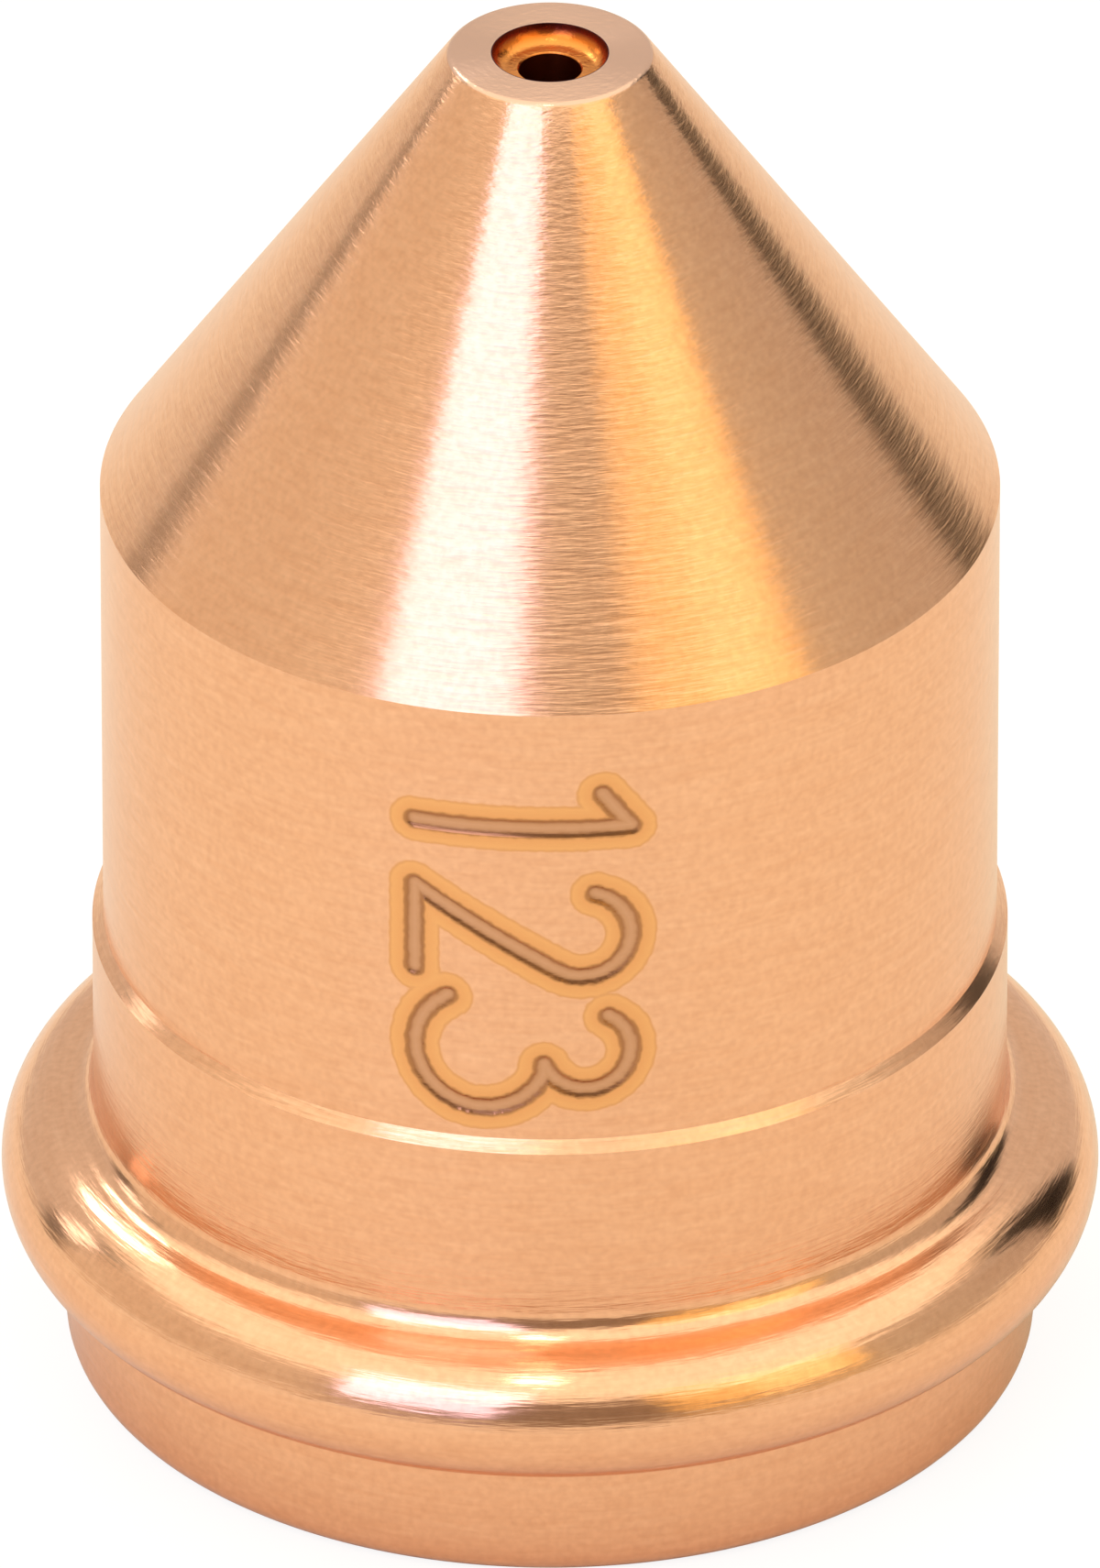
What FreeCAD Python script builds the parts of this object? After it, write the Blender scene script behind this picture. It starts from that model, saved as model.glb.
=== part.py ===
"""Nozzle of a plasma cutting torch, turned from one piece of copper.

The axis is +Z and the tip points up. The origin is the middle of the flat rear face, which the
nozzle stands on. From the rear: a short spigot, a full-round flange, a guide for the retaining
cap, a slightly thinner body and a cone that ends in the flat tip. The inside is bored from the
rear: a seat for the swirl ring, a chamber that the electrode fills with clearance, a conical
throat and the orifice, which opens through a flared counterbore in the tip.
"""

import FreeCAD, Part
import math
import os
import Sketcher

# Millimetres, and degrees for the half-angles.
SIZES = [
    ("overall_length", 21.4),
    ("spigot_diameter", 14.15),
    ("spigot_edge_radius", 0.4),
    ("flange_diameter", 16.0),
    ("flange_thickness", 2.0),
    ("flange_height", 2.87),
    ("flange_fillet", 0.4),
    ("guide_diameter", 13.3),
    ("guide_top", 6.95),
    ("body_diameter", 12.98),
    ("cone_half_angle", 35.0),
    ("tip_diameter", 2.92),
    ("tip_edge_radius", 0.12),
    ("seat_diameter", 11.4),
    ("seat_depth", 2.6),
    ("seat_lead", 0.3),
    ("chamber_diameter", 9.6),
    ("chamber_lead", 0.2),
    ("chamber_floor", 17.6),
    ("throat_half_angle", 40.0),
    ("floor_diameter", 3.2),
    ("floor_radius", 0.8),
    ("orifice_diameter", 0.9),
    ("orifice_lead", 0.12),
    ("counterbore_diameter", 1.67),
    ("counterbore_depth", 0.25),
    ("flare_half_angle", 45.0),
]

TOLERANCE = 1e-4


def make_sheet(doc):
    """The driving dimensions, one named cell each."""
    sheet = doc.addObject("Spreadsheet::Sheet", "Sizes")
    for row, (name, value) in enumerate(SIZES, start=1):
        sheet.set(f"A{row}", name)
        sheet.set(f"B{row}", str(value))
        sheet.setAlias(f"B{row}", name)
    doc.recompute()
    return sheet


def half(name):
    """The expression for a radius, from the name of its diameter."""
    return f"Sizes.{name} / 2"


def degrees(name):
    return f"Sizes.{name} * 1 deg"


def origin_plane(body, role):
    return next(f for f in body.Origin.OriginFeatures if f.Role == role)


def half_section(body, name, points, arcs=()):
    """A closed outline on the body's XZ plane, through points of (radius, height).

    A stretch named in arcs, as {index: (centre, radius)}, is an arc that turns anticlockwise and
    runs smoothly into its neighbours. The others are lines, and those that are level or upright
    are held so. The first point is held on the axis, or at the origin if it is there. Stretch
    number i of the sketch starts at points[i].
    """
    sketch = body.newObject("Sketcher::SketchObject", name)
    sketch.AttachmentSupport = [(origin_plane(body, "XZ_Plane"), "")]
    sketch.MapMode = "FlatFace"
    arcs = dict(arcs)
    count = len(points)
    for i, start in enumerate(points):
        end = points[(i + 1) % count]
        if i in arcs:
            sketch.addGeometry(arc_between(start, end, *arcs[i]))
        else:
            sketch.addGeometry(Part.LineSegment(flat(start), flat(end)))
    for i, start in enumerate(points):
        following = (i + 1) % count
        join = "Tangent" if i in arcs or following in arcs else "Coincident"
        sketch.addConstraint(Sketcher.Constraint(join, i, 2, following, 1))
        end = points[following]
        if i in arcs:
            continue
        if abs(start[0] - end[0]) < TOLERANCE:
            sketch.addConstraint(Sketcher.Constraint("Vertical", i))
        elif abs(start[1] - end[1]) < TOLERANCE:
            sketch.addConstraint(Sketcher.Constraint("Horizontal", i))
    if points[0] == (0, 0):
        sketch.addConstraint(Sketcher.Constraint("Coincident", 0, 1, -1, 1))
    else:
        sketch.addConstraint(Sketcher.Constraint("PointOnObject", 0, 1, -2))
    return sketch


def flat(point):
    return FreeCAD.Vector(point[0], point[1], 0)


def arc_between(start, end, centre, radius):
    circle = Part.Circle(flat(centre), FreeCAD.Vector(0, 0, 1), radius)
    first = math.atan2(start[1] - centre[1], start[0] - centre[0])
    last = math.atan2(end[1] - centre[1], end[0] - centre[0])
    return Part.ArcOfCircle(circle, first, last)


def bind(sketch, constraint, name, expression):
    """Adds a driving constraint with a name of its own and ties it to the sheet."""
    index = sketch.addConstraint(constraint)
    sketch.renameConstraint(index, name)
    sketch.setExpression(f"Constraints.{name}", expression)


def bind_radius(sketch, stretch, position, name, expression, value):
    """The distance of one end of a stretch from the axis."""
    constraint = Sketcher.Constraint("DistanceX", -1, 1, stretch, position, value)
    bind(sketch, constraint, name, expression)


def bind_height(sketch, stretch, position, name, expression, value):
    """The height of one end of a stretch above the rear face."""
    constraint = Sketcher.Constraint("DistanceY", -1, 1, stretch, position, value)
    bind(sketch, constraint, name, expression)


def bind_slope(sketch, stretch, name, half_angle, degrees_value):
    """The half-angle of a taper whose stretch runs upwards and inwards."""
    value = math.radians(90 + degrees_value)
    constraint = Sketcher.Constraint("Angle", stretch, value)
    bind(sketch, constraint, name, f"90 deg + {degrees(half_angle)}")


def turn(body, sketch, name, kind):
    """A full turn of the sketch about the nozzle's axis, added or cut away."""
    feature = body.newObject(f"PartDesign::{kind}", name)
    feature.Profile = sketch
    feature.ReferenceAxis = (sketch, ["V_Axis"])
    feature.Angle = 360
    body.Document.recompute()
    return feature


def edges_at(feature, radius, height):
    """Names of the feature's circular edges of that radius at that height."""
    found = []
    for number, edge in enumerate(feature.Shape.Edges, start=1):
        if not isinstance(edge.Curve, Part.Circle):
            continue
        centre = edge.Curve.Center
        level = abs(centre.z - height) < TOLERANCE
        round_the_axis = math.hypot(centre.x, centre.y) < TOLERANCE
        if level and round_the_axis and abs(edge.Curve.Radius - radius) < TOLERANCE:
            found.append(f"Edge{number}")
    if not found:
        raise ValueError(f"{feature.Name} has no edge of radius {radius} at height {height}")
    return found


def dress_edge(body, kind, name, radius, height, size_name):
    """A fillet or chamfer on the edge at (radius, height), sized from the sheet."""
    base = body.Tip
    feature = body.newObject(f"PartDesign::{kind}", name)
    feature.Base = (base, edges_at(base, radius, height))
    dimension = "Radius" if kind == "Fillet" else "Size"
    feature.setExpression(dimension, f"Sizes.{size_name}")
    body.Document.recompute()
    return feature


def turn_outside(body, sheet):
    """The turned blank without its flange: spigot, guide, body, cone and flat tip."""
    spigot = sheet.spigot_diameter / 2
    guide = sheet.guide_diameter / 2
    barrel = sheet.body_diameter / 2
    tip = sheet.tip_diameter / 2
    step_top = sheet.guide_top + guide - barrel
    taper = (barrel - tip) / math.tan(math.radians(sheet.cone_half_angle))
    cone_base = sheet.overall_length - taper
    points = [
        (0, 0),
        (spigot, 0),
        (spigot, sheet.flange_height),
        (guide, sheet.flange_height),
        (guide, sheet.guide_top),
        (barrel, step_top),
        (barrel, cone_base),
        (tip, sheet.overall_length),
        (0, sheet.overall_length),
    ]
    sketch = half_section(body, "OutsideSection", points)
    bind_radius(sketch, 1, 1, "spigot_r", half("spigot_diameter"), spigot)
    bind_height(sketch, 1, 2, "spigot_top", "Sizes.flange_height", sheet.flange_height)
    bind_radius(sketch, 3, 1, "guide_r", half("guide_diameter"), guide)
    bind_height(sketch, 3, 2, "guide_height", "Sizes.guide_top", sheet.guide_top)
    bind_radius(sketch, 5, 1, "body_r", half("body_diameter"), barrel)
    step = f"Sizes.guide_top + {half('guide_diameter')} - {half('body_diameter')}"
    bind_height(sketch, 5, 1, "step_height", step, step_top)
    bind_slope(sketch, 6, "cone_slope", "cone_half_angle", sheet.cone_half_angle)
    bind_radius(sketch, 7, 1, "tip_r", half("tip_diameter"), tip)
    bind_height(sketch, 7, 1, "tip_height", "Sizes.overall_length", sheet.overall_length)
    turn(body, sketch, "Outside", "Revolution")
    dress_edge(body, "Fillet", "SpigotEdge", spigot, 0, "spigot_edge_radius")
    dress_edge(body, "Fillet", "TipEdge", tip, sheet.overall_length, "tip_edge_radius")


def turn_flange(body, sheet):
    """The flange, a disc with a full-round rim, and the fillet between it and the guide."""
    rim = sheet.flange_thickness / 2
    centre = (sheet.flange_diameter / 2 - rim, sheet.flange_height)
    under = sheet.flange_height - rim
    upper = sheet.flange_height + rim
    points = [(0, under), (centre[0], under), (centre[0], upper), (0, upper)]
    sketch = half_section(body, "FlangeSection", points, {1: (centre, rim)})
    bind(sketch, Sketcher.Constraint("Radius", 1, rim), "rim_r", half("flange_thickness"))
    rim_centre = f"{half('flange_diameter')} - {half('flange_thickness')}"
    bind_radius(sketch, 1, 3, "rim_centre_r", rim_centre, centre[0])
    bind_height(sketch, 1, 3, "rim_height", "Sizes.flange_height", centre[1])
    turn(body, sketch, "Flange", "Revolution")
    guide = sheet.guide_diameter / 2
    past_flat = max(0, guide - centre[0])
    corner = centre[1] + math.sqrt(rim**2 - past_flat**2)
    dress_edge(body, "Fillet", "FlangeFillet", guide, corner, "flange_fillet")


def bore_inside(body, sheet):
    """What is bored from the rear: the ring seat, the electrode chamber and its throat."""
    seat = sheet.seat_diameter / 2
    chamber = sheet.chamber_diameter / 2
    floor = sheet.floor_diameter / 2
    throat = (chamber - floor) / math.tan(math.radians(sheet.throat_half_angle))
    throat_base = sheet.chamber_floor - throat
    points = [
        (0, 0),
        (seat, 0),
        (seat, sheet.seat_depth),
        (chamber, sheet.seat_depth),
        (chamber, throat_base),
        (floor, sheet.chamber_floor),
        (0, sheet.chamber_floor),
    ]
    sketch = half_section(body, "InsideSection", points)
    bind_radius(sketch, 1, 1, "seat_r", half("seat_diameter"), seat)
    bind_height(sketch, 1, 2, "seat_depth", "Sizes.seat_depth", sheet.seat_depth)
    bind_radius(sketch, 3, 1, "chamber_r", half("chamber_diameter"), chamber)
    bind_slope(sketch, 4, "throat_slope", "throat_half_angle", sheet.throat_half_angle)
    bind_radius(sketch, 5, 1, "floor_r", half("floor_diameter"), floor)
    bind_height(sketch, 5, 1, "floor_height", "Sizes.chamber_floor", sheet.chamber_floor)
    turn(body, sketch, "Chamber", "Groove")
    dress_edge(body, "Chamfer", "SeatLead", seat, 0, "seat_lead")
    dress_edge(body, "Chamfer", "ChamberLead", chamber, sheet.seat_depth, "chamber_lead")
    dress_edge(body, "Fillet", "ChamberFloor", floor, sheet.chamber_floor, "floor_radius")


def bore_orifice(body, sheet):
    """The orifice through the tip, with its flared counterbore."""
    orifice = sheet.orifice_diameter / 2
    counterbore = sheet.counterbore_diameter / 2
    top = sheet.overall_length
    flare_top = top - sheet.counterbore_depth
    flare = (counterbore - orifice) / math.tan(math.radians(sheet.flare_half_angle))
    points = [
        (0, sheet.chamber_floor),
        (orifice, sheet.chamber_floor),
        (orifice, flare_top - flare),
        (counterbore, flare_top),
        (counterbore, top),
        (0, top),
    ]
    sketch = half_section(body, "OrificeSection", points)
    floor = "Sizes.chamber_floor"
    bind_height(sketch, 0, 1, "floor_height", floor, sheet.chamber_floor)
    bind_radius(sketch, 1, 1, "orifice_r", half("orifice_diameter"), orifice)
    slope = math.radians(90 - sheet.flare_half_angle)
    bind(
        sketch,
        Sketcher.Constraint("Angle", 2, slope),
        "flare_slope",
        f"90 deg - {degrees('flare_half_angle')}",
    )
    bind_radius(sketch, 3, 1, "counterbore_r", half("counterbore_diameter"), counterbore)
    depth = "Sizes.overall_length - Sizes.counterbore_depth"
    bind_height(sketch, 3, 1, "flare_top", depth, flare_top)
    bind_height(sketch, 4, 1, "tip_height", "Sizes.overall_length", top)
    turn(body, sketch, "Orifice", "Groove")
    dress_edge(
        body, "Chamfer", "OrificeLead", orifice, sheet.chamber_floor, "orifice_lead"
    )


def make_nozzle(doc, sheet):
    body = doc.addObject("PartDesign::Body", "Nozzle")
    body.Label = "nozzle"
    body.Placement = FreeCAD.Placement()
    turn_outside(body, sheet)
    turn_flange(body, sheet)
    bore_inside(body, sheet)
    bore_orifice(body, sheet)
    return body


def check(doc, bodies):
    """Stops if a feature failed or a body isn't one sound solid."""
    failed = [o.Name for o in doc.Objects if {"Invalid", "Error"} & set(o.State)]
    if failed:
        raise RuntimeError(f"these objects failed: {failed}")
    for body in bodies:
        shape = body.Shape
        if shape.isNull() or not shape.isValid() or len(shape.Solids) != 1:
            raise RuntimeError(f"{body.Label} isn't one valid solid")


def main():
    doc = FreeCAD.newDocument("PlasmaTorchNozzle")
    sheet = make_sheet(doc)
    bodies = [make_nozzle(doc, sheet)]
    doc.recompute()
    check(doc, bodies)
    os.makedirs("parts", exist_ok=True)
    for body in bodies:
        body.Shape.exportStep(f"parts/{body.Label}.step")
        box = body.Shape.optimalBoundingBox(False)
        print(
            f"{body.Label}: {body.Shape.Volume:.2f} mm3,"
            f" {box.XLength:.3f} x {box.YLength:.3f} x {box.ZLength:.3f} mm"
        )


main()
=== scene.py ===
"""Looks of a plasma torch nozzle: one turned copper part with three engraved figures.

Metres in Blender, millimetres in the tables below. The nozzle stands on its rear face at z = 0
with its axis on +Z, and the engraved figures face -Y, towards the camera.
"""

import math

import bpy
import numpy as np
from mathutils import Matrix, Vector


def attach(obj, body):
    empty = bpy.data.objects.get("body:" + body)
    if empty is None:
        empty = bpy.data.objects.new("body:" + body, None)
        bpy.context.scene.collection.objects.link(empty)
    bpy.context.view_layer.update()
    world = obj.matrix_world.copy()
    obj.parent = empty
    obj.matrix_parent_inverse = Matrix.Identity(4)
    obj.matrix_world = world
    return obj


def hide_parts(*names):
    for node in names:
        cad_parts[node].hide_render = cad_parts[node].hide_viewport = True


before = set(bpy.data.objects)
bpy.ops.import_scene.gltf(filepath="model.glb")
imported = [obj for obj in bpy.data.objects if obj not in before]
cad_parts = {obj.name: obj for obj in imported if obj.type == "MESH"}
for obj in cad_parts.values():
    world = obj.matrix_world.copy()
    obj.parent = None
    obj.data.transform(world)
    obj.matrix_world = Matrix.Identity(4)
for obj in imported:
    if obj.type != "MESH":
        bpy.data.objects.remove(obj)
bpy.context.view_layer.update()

MM = 0.001

# The turned form, in millimetres, as the solid has it.
LENGTH = 21.4
SPIGOT_R, SPIGOT_ROUND = 7.075, 0.4
FLANGE_R, RIM_R, FLANGE_Z = 8.0, 1.0, 2.87
FILLET_R = 0.4
GUIDE_R, GUIDE_TOP = 6.65, 6.95
BODY_R = 6.49
CONE_HALF_ANGLE = 35.0
TIP_R, TIP_ROUND = 1.46, 0.12
COUNTERBORE_R, COUNTERBORE_DEPTH, COUNTERBORE_ROUND = 0.835, 0.26, 0.24
ORIFICE_R, ORIFICE_LEAD = 0.45, 0.12
CHAMBER_FLOOR, FLOOR_R, FLOOR_ROUND = 17.6, 1.6, 0.8
CHAMBER_R, THROAT_HALF_ANGLE, CHAMBER_LEAD = 4.8, 40.0, 0.2
SEAT_R, SEAT_DEPTH, SEAT_LEAD = 5.7, 2.6, 0.3
SPIN_STEPS = 360
EDGE = 0.02  # a ring this near a sharp edge keeps the shading of the wall beside it even
SMOOTH_ANGLE = 28.0

# The engraved figures, in millimetres. They read down the body, their tops towards +X.
FIGURE_HEIGHT, FIGURE_WIDTH, FIGURE_PITCH = 3.15, 1.4, 1.95
FIGURES_TOP, FIGURES_SHIFT = 13.2, -0.4
STROKE_R, STROKE_DEPTH = 0.13, 0.036
FIGURE_MARGIN = 0.5  # of refined wall round the figures
FIGURE_RINGS, FIGURE_CUTS = 43, 4
WALL_TOLERANCE = 0.01
CLEAR = 9.0  # the distance written where there is no stroke near

# The finish, in millimetres.
FINE_PITCH, BROAD_PITCH, MARK_HEIGHT = 0.07, 0.2, 0.012
FINE_BREAKS, BROAD_BREAKS = 9.0, 5.0  # how often a mark breaks up along the turn
GRAIN = 0.12
HALO_R, HALO_WANDER = 0.40, 0.06

# The room, in metres and degrees.
FLOOR_SIZE, FLOOR_DROP = 3.0, 0.01 * MM
LAMP_REACH = 0.4
CAMERA_ELEVATION, CAMERA_DISTANCE, CAMERA_LENS = 31.35, 497.3 * MM, 787.5
CAMERA_TARGET = 9.138 * MM

# Name, azimuth, elevation, width, height, and the linear brightness in red, green and blue.
LAMPS = [
    ("main softbox", -27, 34, 31, 40, (1.2, 1.25, 2.2)),
    ("warm softbox", 46, 30, 40, 34, (0.5, 0.34, 0.06)),
    ("back lamp", -120, 24, 7, 14, (2.0, 2.0, 2.0)),
    ("far back lamp", -155, 41, 8, 8, (5.0, 5.0, 5.0)),
    ("ceiling lamp", -7, 76, 5, 5, (8.0, 8.0, 8.0)),
    ("warm reflector", 53, 30, 18, 34, (0.25, 0.26, 0.2)),
]


# ---------------------------------------------------------------- small helpers


def deselect_all():
    bpy.ops.object.select_all(action="DESELECT")


def linear(hex_colour):
    """An sRGB hex colour as linear RGBA."""
    channels = [int(hex_colour[i : i + 2], 16) / 255 for i in (1, 3, 5)]
    return [
        c / 12.92 if c <= 0.04045 else ((c + 0.055) / 1.055) ** 2.4 for c in channels
    ] + [1.0]


def node(tree, kind, settings=None, links=None):
    """Adds a node. settings are its properties. links are its inputs by name or number, each
    a value or another node's output."""
    made = tree.nodes.new(kind)
    for name, value in (settings or {}).items():
        setattr(made, name, value)
    for name, source in (links or {}).items():
        if isinstance(source, (int, float, list, tuple)):
            made.inputs[name].default_value = source
        else:
            tree.links.new(source, made.inputs[name])
    return made


def new_material(name):
    material = bpy.data.materials.new(name)
    material.use_nodes = True
    material.node_tree.nodes.clear()
    return material, material.node_tree


def aim(name, data, azimuth, elevation, distance, target):
    """Places a lamp or camera so that it looks at the height target on the axis. Azimuth 0 is
    the -Y side, 90 is +X."""
    a, e = math.radians(azimuth), math.radians(elevation)
    towards = Vector(
        (math.sin(a) * math.cos(e), -math.cos(a) * math.cos(e), math.sin(e))
    )
    holder = bpy.data.objects.new(name, data)
    bpy.context.collection.objects.link(holder)
    turned = towards.to_track_quat("Z", "Y").to_matrix().to_4x4()
    place = towards * distance + Vector((0, 0, target))
    holder.matrix_world = Matrix.Translation(place) @ turned
    return holder


# ---------------------------------------------------------------- the nozzle's shape


def arc(centre, radius, start, end, steps):
    """Points of (radius, height) on an arc between two angles in degrees."""
    return [
        (
            centre[0] + radius * math.cos(math.radians(a)),
            centre[1] + radius * math.sin(math.radians(a)),
        )
        for a in np.linspace(start, end, steps + 1)
    ]


def rungs(r, low, high, steps):
    """Points up a straight wall."""
    return [(r, z) for z in np.linspace(low, high, steps + 1)]


def half_outline():
    """The closed half section, up the outside, over the tip and down the inside."""
    cone = math.radians(CONE_HALF_ANGLE)
    step_top = GUIDE_TOP + GUIDE_R - BODY_R
    cone_base = LENGTH - (BODY_R - TIP_R) / math.tan(cone)

    rim = (FLANGE_R - RIM_R, FLANGE_Z)
    fillet_r = GUIDE_R + FILLET_R
    rise = math.sqrt((RIM_R + FILLET_R) ** 2 - (fillet_r - rim[0]) ** 2)
    fillet = (fillet_r, FLANGE_Z + rise)
    touch = math.degrees(math.atan2(rise, fillet_r - rim[0]))

    outside = arc((SPIGOT_R - SPIGOT_ROUND, SPIGOT_ROUND), SPIGOT_ROUND, -90, 0, 8)
    outside += rungs(SPIGOT_R, 0.6, FLANGE_Z - RIM_R, 3)
    outside += arc(rim, RIM_R, -90, touch, 28)
    outside += arc(fillet, FILLET_R, touch + 180, 180, 10)[1:]
    outside += rungs(GUIDE_R, fillet[1] + 0.1, GUIDE_TOP - EDGE, 6)
    outside += [(GUIDE_R, GUIDE_TOP), (BODY_R, step_top)]
    # Close rings where the figures go.
    low, high = FIGURES_TOP - 3 * FIGURE_PITCH, FIGURES_TOP + 0.6
    outside += rungs(BODY_R, step_top + EDGE, low, 2)
    outside += rungs(BODY_R, low + 0.15, high, FIGURE_RINGS)
    outside += [(BODY_R, cone_base - EDGE), (BODY_R, cone_base)]

    setback = TIP_ROUND * math.tan((math.pi / 2 - cone) / 2)
    tip_round = (TIP_R - setback, LENGTH - TIP_ROUND)
    tip = arc(tip_round, TIP_ROUND, CONE_HALF_ANGLE, 90, 5)
    cone_start = (BODY_R - EDGE * math.tan(cone), cone_base + EDGE)
    cone_wall = [
        tuple(np.array(cone_start) + (np.array(tip[0]) - cone_start) * k)
        for k in np.linspace(0, 1, 13)[:-1]
    ]
    outside += cone_wall + tip

    step = LENGTH - COUNTERBORE_DEPTH
    hollow = (COUNTERBORE_R - COUNTERBORE_ROUND, step + COUNTERBORE_ROUND)
    inside = [(COUNTERBORE_R, LENGTH)]
    inside += arc(hollow, COUNTERBORE_ROUND, 0, -90, 12)
    inside += [
        (ORIFICE_R + EDGE, step),
        (ORIFICE_R, step - EDGE),
        (ORIFICE_R, CHAMBER_FLOOR + ORIFICE_LEAD),
        (ORIFICE_R + ORIFICE_LEAD, CHAMBER_FLOOR),
    ]
    throat = math.radians(THROAT_HALF_ANGLE)
    throat_base = CHAMBER_FLOOR - (CHAMBER_R - FLOOR_R) / math.tan(throat)
    setback = FLOOR_ROUND * math.tan((math.pi / 2 - throat) / 2)
    floor_round = (FLOOR_R - setback, CHAMBER_FLOOR - FLOOR_ROUND)
    inside += arc(floor_round, FLOOR_ROUND, 90, THROAT_HALF_ANGLE, 8)
    inside += [
        (CHAMBER_R, throat_base),
        (CHAMBER_R, SEAT_DEPTH + CHAMBER_LEAD),
        (CHAMBER_R + CHAMBER_LEAD, SEAT_DEPTH),
        (SEAT_R, SEAT_DEPTH),
        (SEAT_R, SEAT_LEAD),
        (SEAT_R + SEAT_LEAD, 0.0),
    ]
    return outside + inside


def turn_nozzle():
    """Draws the half section vertex by vertex and spins it about the axis."""
    outline = [Vector((r, 0, z)) * MM for r, z in half_outline()]
    deselect_all()
    bpy.ops.mesh.primitive_plane_add(size=MM, location=(0, 0, 0))
    nozzle = bpy.context.object
    nozzle.name = "turned_nozzle"
    bpy.ops.object.mode_set(mode="EDIT")
    bpy.ops.mesh.merge(type="CENTER")
    bpy.ops.transform.translate(value=outline[0])
    for here, there in zip(outline, outline[1:] + outline[:1]):
        bpy.ops.mesh.extrude_region_move(
            TRANSFORM_OT_translate={"value": there - here}
        )
    bpy.ops.mesh.select_all(action="SELECT")
    bpy.ops.mesh.spin(
        steps=SPIN_STEPS, angle=2 * math.pi, center=(0, 0, 0), axis=(0, 0, 1)
    )
    bpy.ops.mesh.select_all(action="SELECT")
    bpy.ops.mesh.remove_doubles(threshold=0.001 * MM)
    bpy.ops.mesh.normals_make_consistent(inside=False)
    bpy.ops.object.mode_set(mode="OBJECT")
    return nozzle


# ---------------------------------------------------------------- the engraved figures


def figure_strokes():
    """Polylines of the figures 1, 2 and 3, each in its own box, x across and y up."""
    w, h = FIGURE_WIDTH, FIGURE_HEIGHT
    middle, stem, flag = w / 2, 0.62 * w, 0.42
    one = [(0.22 * w, h - flag), (stem, h), (stem, 0)]
    two = arc((middle, h - middle), middle, 165, -30, 14) + [(0, 0), (w, 0)]
    upper = 0.93 * middle
    lower = (h - 2 * upper) / 2 + 0.06
    three = arc((middle, h - upper), upper, 150, -70, 14)
    three += arc((middle, lower), lower, 80, -150, 16)[1:]
    return [one, two, three]


def stroke_distance(points):
    """Distance in millimetres from each (turn, height) point to the nearest stroke."""
    nearest = np.full(len(points), CLEAR)
    for number, stroke in enumerate(figure_strokes()):
        top = FIGURES_TOP - number * FIGURE_PITCH
        placed = [
            (y - FIGURE_HEIGHT / 2 + FIGURES_SHIFT, top - x) for x, y in stroke
        ]
        for a, b in zip(np.array(placed), np.array(placed[1:])):
            along = np.clip((points - a) @ (b - a) / ((b - a) @ (b - a)), 0, 1)
            gap = np.linalg.norm(points - a - along[:, None] * (b - a), axis=1)
            nearest = np.minimum(nearest, gap)
    return nearest


def engrave(nozzle):
    """Refines the patch of wall that carries the figures and sinks their strokes into it."""
    low = FIGURES_TOP - 2 * FIGURE_PITCH - FIGURE_WIDTH - FIGURE_MARGIN
    high = FIGURES_TOP + FIGURE_MARGIN
    half_turn = (FIGURE_HEIGHT / 2 + FIGURE_MARGIN) / BODY_R
    middle = FIGURES_SHIFT / BODY_R

    deselect_all()
    nozzle.select_set(True)
    bpy.context.view_layer.objects.active = nozzle
    bpy.ops.object.mode_set(mode="EDIT")
    bpy.ops.mesh.select_all(action="DESELECT")
    bpy.ops.object.mode_set(mode="OBJECT")
    for face in nozzle.data.polygons:
        c = face.center / MM
        turn = math.atan2(c.x, -c.y)
        on_wall = abs(math.hypot(c.x, c.y) - BODY_R) < WALL_TOLERANCE
        face.select = on_wall and low < c.z < high and abs(turn - middle) < half_turn
    bpy.ops.object.mode_set(mode="EDIT")
    bpy.ops.mesh.select_mode(type="FACE")
    bpy.ops.mesh.subdivide(number_cuts=FIGURE_CUTS)
    bpy.ops.object.mode_set(mode="OBJECT")

    mesh = nozzle.data
    place = np.empty(len(mesh.vertices) * 3)
    mesh.vertices.foreach_get("co", place)
    place = place.reshape(-1, 3) / MM
    turn = np.arctan2(place[:, 0], -place[:, 1])
    r = np.hypot(place[:, 0], place[:, 1])
    # A little wider than the refined patch, so that its border is on the round too.
    wall = (
        (np.abs(r - BODY_R) < WALL_TOLERANCE)
        & (place[:, 2] > low - 0.2)
        & (place[:, 2] < high + 0.2)
        & (np.abs(turn - middle) < half_turn + 0.03)
    )
    distance = np.full(len(place), CLEAR)
    distance[wall] = stroke_distance(
        np.column_stack([turn[wall] * BODY_R, place[wall, 2]])
    )
    depth = np.sqrt(np.clip(1 - (distance / STROKE_R) ** 2, 0, 1)) * STROKE_DEPTH
    sunk = (BODY_R - depth[wall]) * MM
    place *= MM
    place[wall, 0] = np.sin(turn[wall]) * sunk
    place[wall, 1] = -np.cos(turn[wall]) * sunk
    mesh.vertices.foreach_set("co", place.ravel())
    mark = mesh.attributes.new("stroke_distance", "FLOAT", "POINT")
    mark.data.foreach_set("value", distance)
    mesh.update()


# ---------------------------------------------------------------- finishes


def ramp(tree, source, stops):
    """A colour ramp through (position, colour) stops, each colour a hex or a linear tuple."""
    made = node(tree, "ShaderNodeValToRGB", links={0: source})
    elements = made.color_ramp.elements
    while len(elements) < len(stops):
        elements.new(0.5)
    for element, (position, colour) in zip(elements, stops):
        element.position = position
        element.color = linear(colour) if isinstance(colour, str) else (*colour, 1)
    return made.outputs["Color"]


def math_node(tree, operation, *sources):
    made = node(
        tree, "ShaderNodeMath", {"operation": operation}, dict(enumerate(sources))
    )
    return made.outputs[0]


def mix(tree, factor, low, high):
    links = {"Factor": factor, 6: low, 7: high}
    return node(tree, "ShaderNodeMix", {"data_type": "RGBA"}, links).outputs[2]


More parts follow.
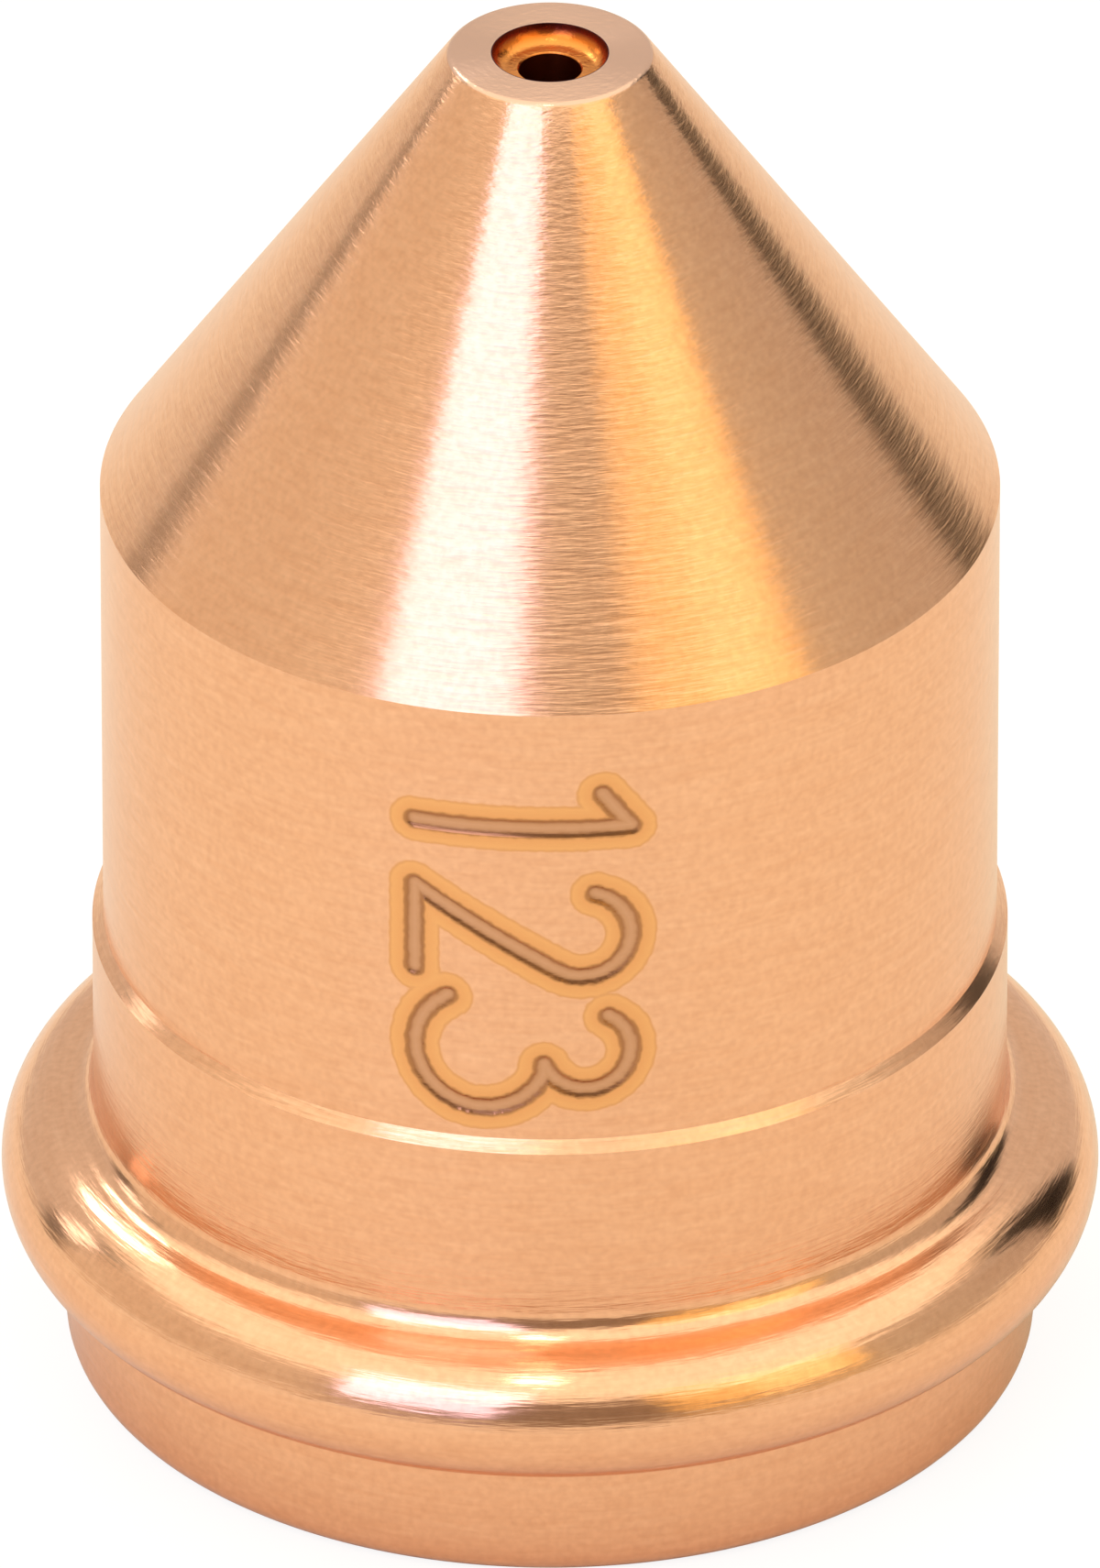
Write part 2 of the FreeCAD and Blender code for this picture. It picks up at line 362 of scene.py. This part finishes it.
def tool_marks(tree, place, pitch, breaks):
    """Noise drawn out round the axis: fine rings, pitch millimetres apart, that break up along
    the turn. Also gives the radius and the height."""
    parts = node(tree, "ShaderNodeSeparateXYZ", links={0: place})
    x, y, z = parts.outputs
    r = math_node(
        tree,
        "SQRT",
        math_node(
            tree,
            "ADD",
            math_node(tree, "MULTIPLY", x, x),
            math_node(tree, "MULTIPLY", y, y),
        ),
    )
    safe = math_node(tree, "MAXIMUM", r, 0.01 * MM)
    across = node(
        tree,
        "ShaderNodeCombineXYZ",
        links={
            0: math_node(tree, "MULTIPLY", math_node(tree, "DIVIDE", x, safe), breaks),
            1: math_node(tree, "MULTIPLY", math_node(tree, "DIVIDE", y, safe), breaks),
            2: math_node(tree, "DIVIDE", z, pitch * MM),
        },
    )
    noise = node(
        tree,
        "ShaderNodeTexNoise",
        {"noise_dimensions": "4D"},
        {
            "Vector": across.outputs[0],
            "W": math_node(tree, "DIVIDE", r, pitch * MM),
            "Scale": 1.0,
            "Detail": 2.0,
            "Roughness": 0.6,
        },
    )
    return noise.outputs[0], r, z


def turned_copper():
    """Copper, turned to a fine satin. The tool's marks run round the part, so a highlight
    stretches along it, and the marks comb the edges of the highlights. The flat tip has a
    paler, pinker colour, painted light standing for what its flat face reflects. The orifice
    is dark at its rim and orange further in, and the engraving left a straw-coloured heat
    tint."""
    material, tree = new_material("turned copper, satin")

    place = node(tree, "ShaderNodeTexCoord").outputs["Object"]
    # The real pitch, about 0.05 mm, is too fine to show, so the marks are drawn wider.
    fine, r, z = tool_marks(tree, place, FINE_PITCH, FINE_BREAKS)
    broad, _, _ = tool_marks(tree, place, BROAD_PITCH, BROAD_BREAKS)
    grain = node(
        tree,
        "ShaderNodeTexNoise",
        links={"Vector": place, "Scale": 1 / (GRAIN * MM), "Detail": 2.0},
    ).outputs[0]
    marks = math_node(
        tree,
        "ADD",
        math_node(tree, "MULTIPLY", fine, 0.6),
        math_node(tree, "MULTIPLY", broad, 0.4),
    )

    # A little light and dark follows the marks and the grain.
    copper = ramp(tree, marks, [(0.30, "#F0B68E"), (0.70, "#F8C29C")])
    speckle = ramp(tree, grain, [(0.30, "#F5F2F0"), (0.70, "#FFFFFF")])
    copper = node(
        tree,
        "ShaderNodeMix",
        {"data_type": "RGBA", "blend_type": "MULTIPLY"},
        {"Factor": 1.0, 6: copper, 7: speckle},
    ).outputs[2]

    # Flat tip: pinker and less golden, painted light standing for what this flat face
    # reflects.
    on_tip = math_node(tree, "GREATER_THAN", z, (LENGTH - 0.03) * MM)
    face = mix(tree, on_tip, copper, linear("#E9BDA3"))

    # Orifice: dark at its rim, orange further in and darker down the bore.
    into = math_node(
        tree, "DIVIDE", math_node(tree, "SUBTRACT", LENGTH * MM, z), 0.5 * MM
    )
    bore_tones = ramp(
        tree,
        into,
        [
            (0.0, "#54303A"),
            (0.16, "#7A3426"),
            (0.36, "#E87C2E"),
            (0.50, "#F6A050"),
            (0.58, "#A85428"),
        ],
    )
    in_bore = math_node(tree, "LESS_THAN", r, (COUNTERBORE_R + 0.012) * MM)
    high_up = math_node(tree, "GREATER_THAN", z, (CHAMBER_FLOOR + 0.1) * MM)
    bore = math_node(tree, "MULTIPLY", in_bore, high_up)
    body = mix(tree, bore, face, bore_tones)

    # Engraving: pinkish brown floor, dark walls, straw halo with a browner rim.
    gap = node(
        tree, "ShaderNodeAttribute", {"attribute_name": "stroke_distance"}
    ).outputs["Fac"]
    # The grain makes the halo's edge wander a little.
    wander = math_node(
        tree,
        "MULTIPLY_ADD",
        grain,
        HALO_WANDER,
        math_node(tree, "SUBTRACT", gap, HALO_WANDER / 2),
    )
    halo = ramp(
        tree,
        wander,
        [
            (0.0, "#D3A07C"),
            (0.060, "#CC9872"),
            (0.105, "#AD7852"),
            (0.145, "#B98254"),
            (0.18, "#EBAA70"),
            (0.33, "#F0B276"),
            (0.365, "#E2A56F"),
            (HALO_R, "#F4BC95"),
        ],
    )
    tinted = math_node(tree, "LESS_THAN", wander, HALO_R)
    colour = mix(tree, tinted, body, halo)

    height = node(
        tree,
        "ShaderNodeBump",
        links={"Height": marks, "Strength": 1.0, "Distance": MARK_HEIGHT * MM},
    )
    around = node(tree, "ShaderNodeTangent", {"direction_type": "RADIAL", "axis": "Z"})
    # The flange is smoother than the cone and the body.
    gloss = ramp(
        tree,
        math_node(tree, "DIVIDE", z, 10 * MM),
        [(0.42, (0.17, 0.17, 0.17)), (0.48, (0.24, 0.24, 0.24))],
    )
    shader = node(
        tree,
        "ShaderNodeBsdfPrincipled",
        links={
            "Base Color": colour,
            "Metallic": 1.0,
            "Roughness": gloss,
            "Anisotropic": 0.8,
            "Anisotropic Rotation": 0.25,
            "Tangent": around.outputs["Tangent"],
            "Normal": height.outputs["Normal"],
        },
    )
    node(
        tree,
        "ShaderNodeOutputMaterial",
        links={"Surface": shader.outputs["BSDF"]},
    )
    return material


# ---------------------------------------------------------------- floor, light and camera


def floor():
    """Cream paper. It keeps the nozzle's shadow and is white to the camera elsewhere."""
    deselect_all()
    bpy.ops.mesh.primitive_plane_add(size=FLOOR_SIZE, location=(0, 0, -FLOOR_DROP))
    plane = bpy.context.object
    plane.name = "floor"
    material, tree = new_material("cream paper")
    path = node(tree, "ShaderNodeLightPath")
    paper = node(tree, "ShaderNodeBsdfDiffuse", links={"Color": linear("#EAE8DE")})
    white = node(
        tree,
        "ShaderNodeEmission",
        links={"Color": linear("#FFFFFF"), "Strength": 1.1},
    )
    share = math_node(tree, "MULTIPLY", path.outputs["Is Camera Ray"], 0.8)
    mixed = node(
        tree,
        "ShaderNodeMixShader",
        links={0: share, 1: paper.outputs[0], 2: white.outputs[0]},
    )
    # Clear from below, so that the rear face can be seen.
    below = node(tree, "ShaderNodeNewGeometry").outputs["Backfacing"]
    clear = node(tree, "ShaderNodeBsdfTransparent")
    sided = node(
        tree,
        "ShaderNodeMixShader",
        links={0: below, 1: mixed.outputs[0], 2: clear.outputs[0]},
    )
    node(tree, "ShaderNodeOutputMaterial", links={"Surface": sided.outputs[0]})
    plane.data.materials.append(material)


def studio_walls():
    """A pale room: dim behind the camera, a dark gap on each side of the back wall, warm pale
    walls at the sides and a bright ceiling."""
    world = bpy.data.worlds.new("studio")
    bpy.context.scene.world = world
    world.use_nodes = True
    tree = world.node_tree
    tree.nodes.clear()
    way = node(tree, "ShaderNodeTexCoord")
    parts = node(tree, "ShaderNodeSeparateXYZ", links={0: way.outputs["Generated"]})

    height = parts.outputs["Z"]
    flat = math_node(
        tree,
        "SQRT",
        math_node(tree, "SUBTRACT", 1.0, math_node(tree, "MULTIPLY", height, height)),
    )
    ahead = math_node(
        tree, "DIVIDE", parts.outputs["Y"], math_node(tree, "MAXIMUM", flat, 0.001)
    )
    # 0 is the wall behind the nozzle, 1 the wall behind the camera.
    heading = math_node(tree, "MULTIPLY_ADD", ahead, -0.5, 0.5)
    pale, front = (0.75, 0.72, 0.66), (0.30, 0.24, 0.18)
    left_gap, right_gap = (0.16, 0.14, 0.12), (0.01, 0.01, 0.01)
    left = ramp(
        tree,
        heading,
        [
            (0.20, pale),
            (0.235, left_gap),
            (0.265, left_gap),
            (0.31, (0.86, 0.78, 0.64)),
            (0.80, (0.80, 0.72, 0.58)),
            (0.97, front),
        ],
    )
    right = ramp(
        tree,
        heading,
        [
            (0.13, pale),
            (0.15, right_gap),
            (0.235, right_gap),
            (0.27, (0.60, 0.56, 0.50)),
            (0.64, (0.66, 0.62, 0.50)),
            (0.72, (0.68, 0.58, 0.36)),
            (0.92, (0.62, 0.50, 0.30)),
            (0.97, front),
        ],
    )
    side = node(
        tree,
        "ShaderNodeMath",
        {"operation": "MULTIPLY_ADD", "use_clamp": True},
        {0: parts.outputs["X"], 1: 2.0, 2: 0.5},
    )
    walls = mix(tree, side.outputs[0], left, right)
    ceiling = ramp(tree, height, [(0.60, "#000000"), (0.72, "#FFFFFF")])
    room = mix(tree, ceiling, walls, [1.45, 1.40, 1.20, 1.0])
    path = node(tree, "ShaderNodeLightPath")
    colour = mix(tree, path.outputs["Is Camera Ray"], room, linear("#FFFFFF"))
    background = node(tree, "ShaderNodeBackground", links={"Color": colour})
    node(tree, "ShaderNodeOutputWorld", links={"Surface": background.outputs[0]})


def softbox(name, azimuth, elevation, width, height, level):
    """A flat lamp aimed at the middle of the nozzle. width and height are its angles in
    degrees. An area lamp of power 4 a square metre has a brightness of 1."""
    lamp = bpy.data.lights.new(name, "AREA")
    lamp.shape = "RECTANGLE"
    lamp.size = 2 * LAMP_REACH * math.tan(math.radians(width / 2))
    lamp.size_y = 2 * LAMP_REACH * math.tan(math.radians(height / 2))
    lamp.energy = max(level) * lamp.size * lamp.size_y * 4
    lamp.color = [v / max(level) for v in level]
    aim(name, lamp, azimuth, elevation, LAMP_REACH, LENGTH / 2 * MM)


def camera():
    data = bpy.data.cameras.new("camera")
    data.sensor_width = 36.0
    data.lens = CAMERA_LENS
    data.clip_start, data.clip_end = 0.01, 10.0
    bpy.context.scene.camera = aim(
        "camera", data, 0, CAMERA_ELEVATION, CAMERA_DISTANCE, CAMERA_TARGET
    )


# ---------------------------------------------------------------- the scene

nozzle = turn_nozzle()
engrave(nozzle)
nozzle.data.materials.append(turned_copper())
deselect_all()
nozzle.select_set(True)
bpy.context.view_layer.objects.active = nozzle
bpy.ops.object.shade_smooth_by_angle(angle=math.radians(SMOOTH_ANGLE))
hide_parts("nozzle")
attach(nozzle, "root")

floor()
studio_walls()
for lamp in LAMPS:
    softbox(*lamp)
camera()
bpy.context.scene.view_settings.view_transform = "Standard"
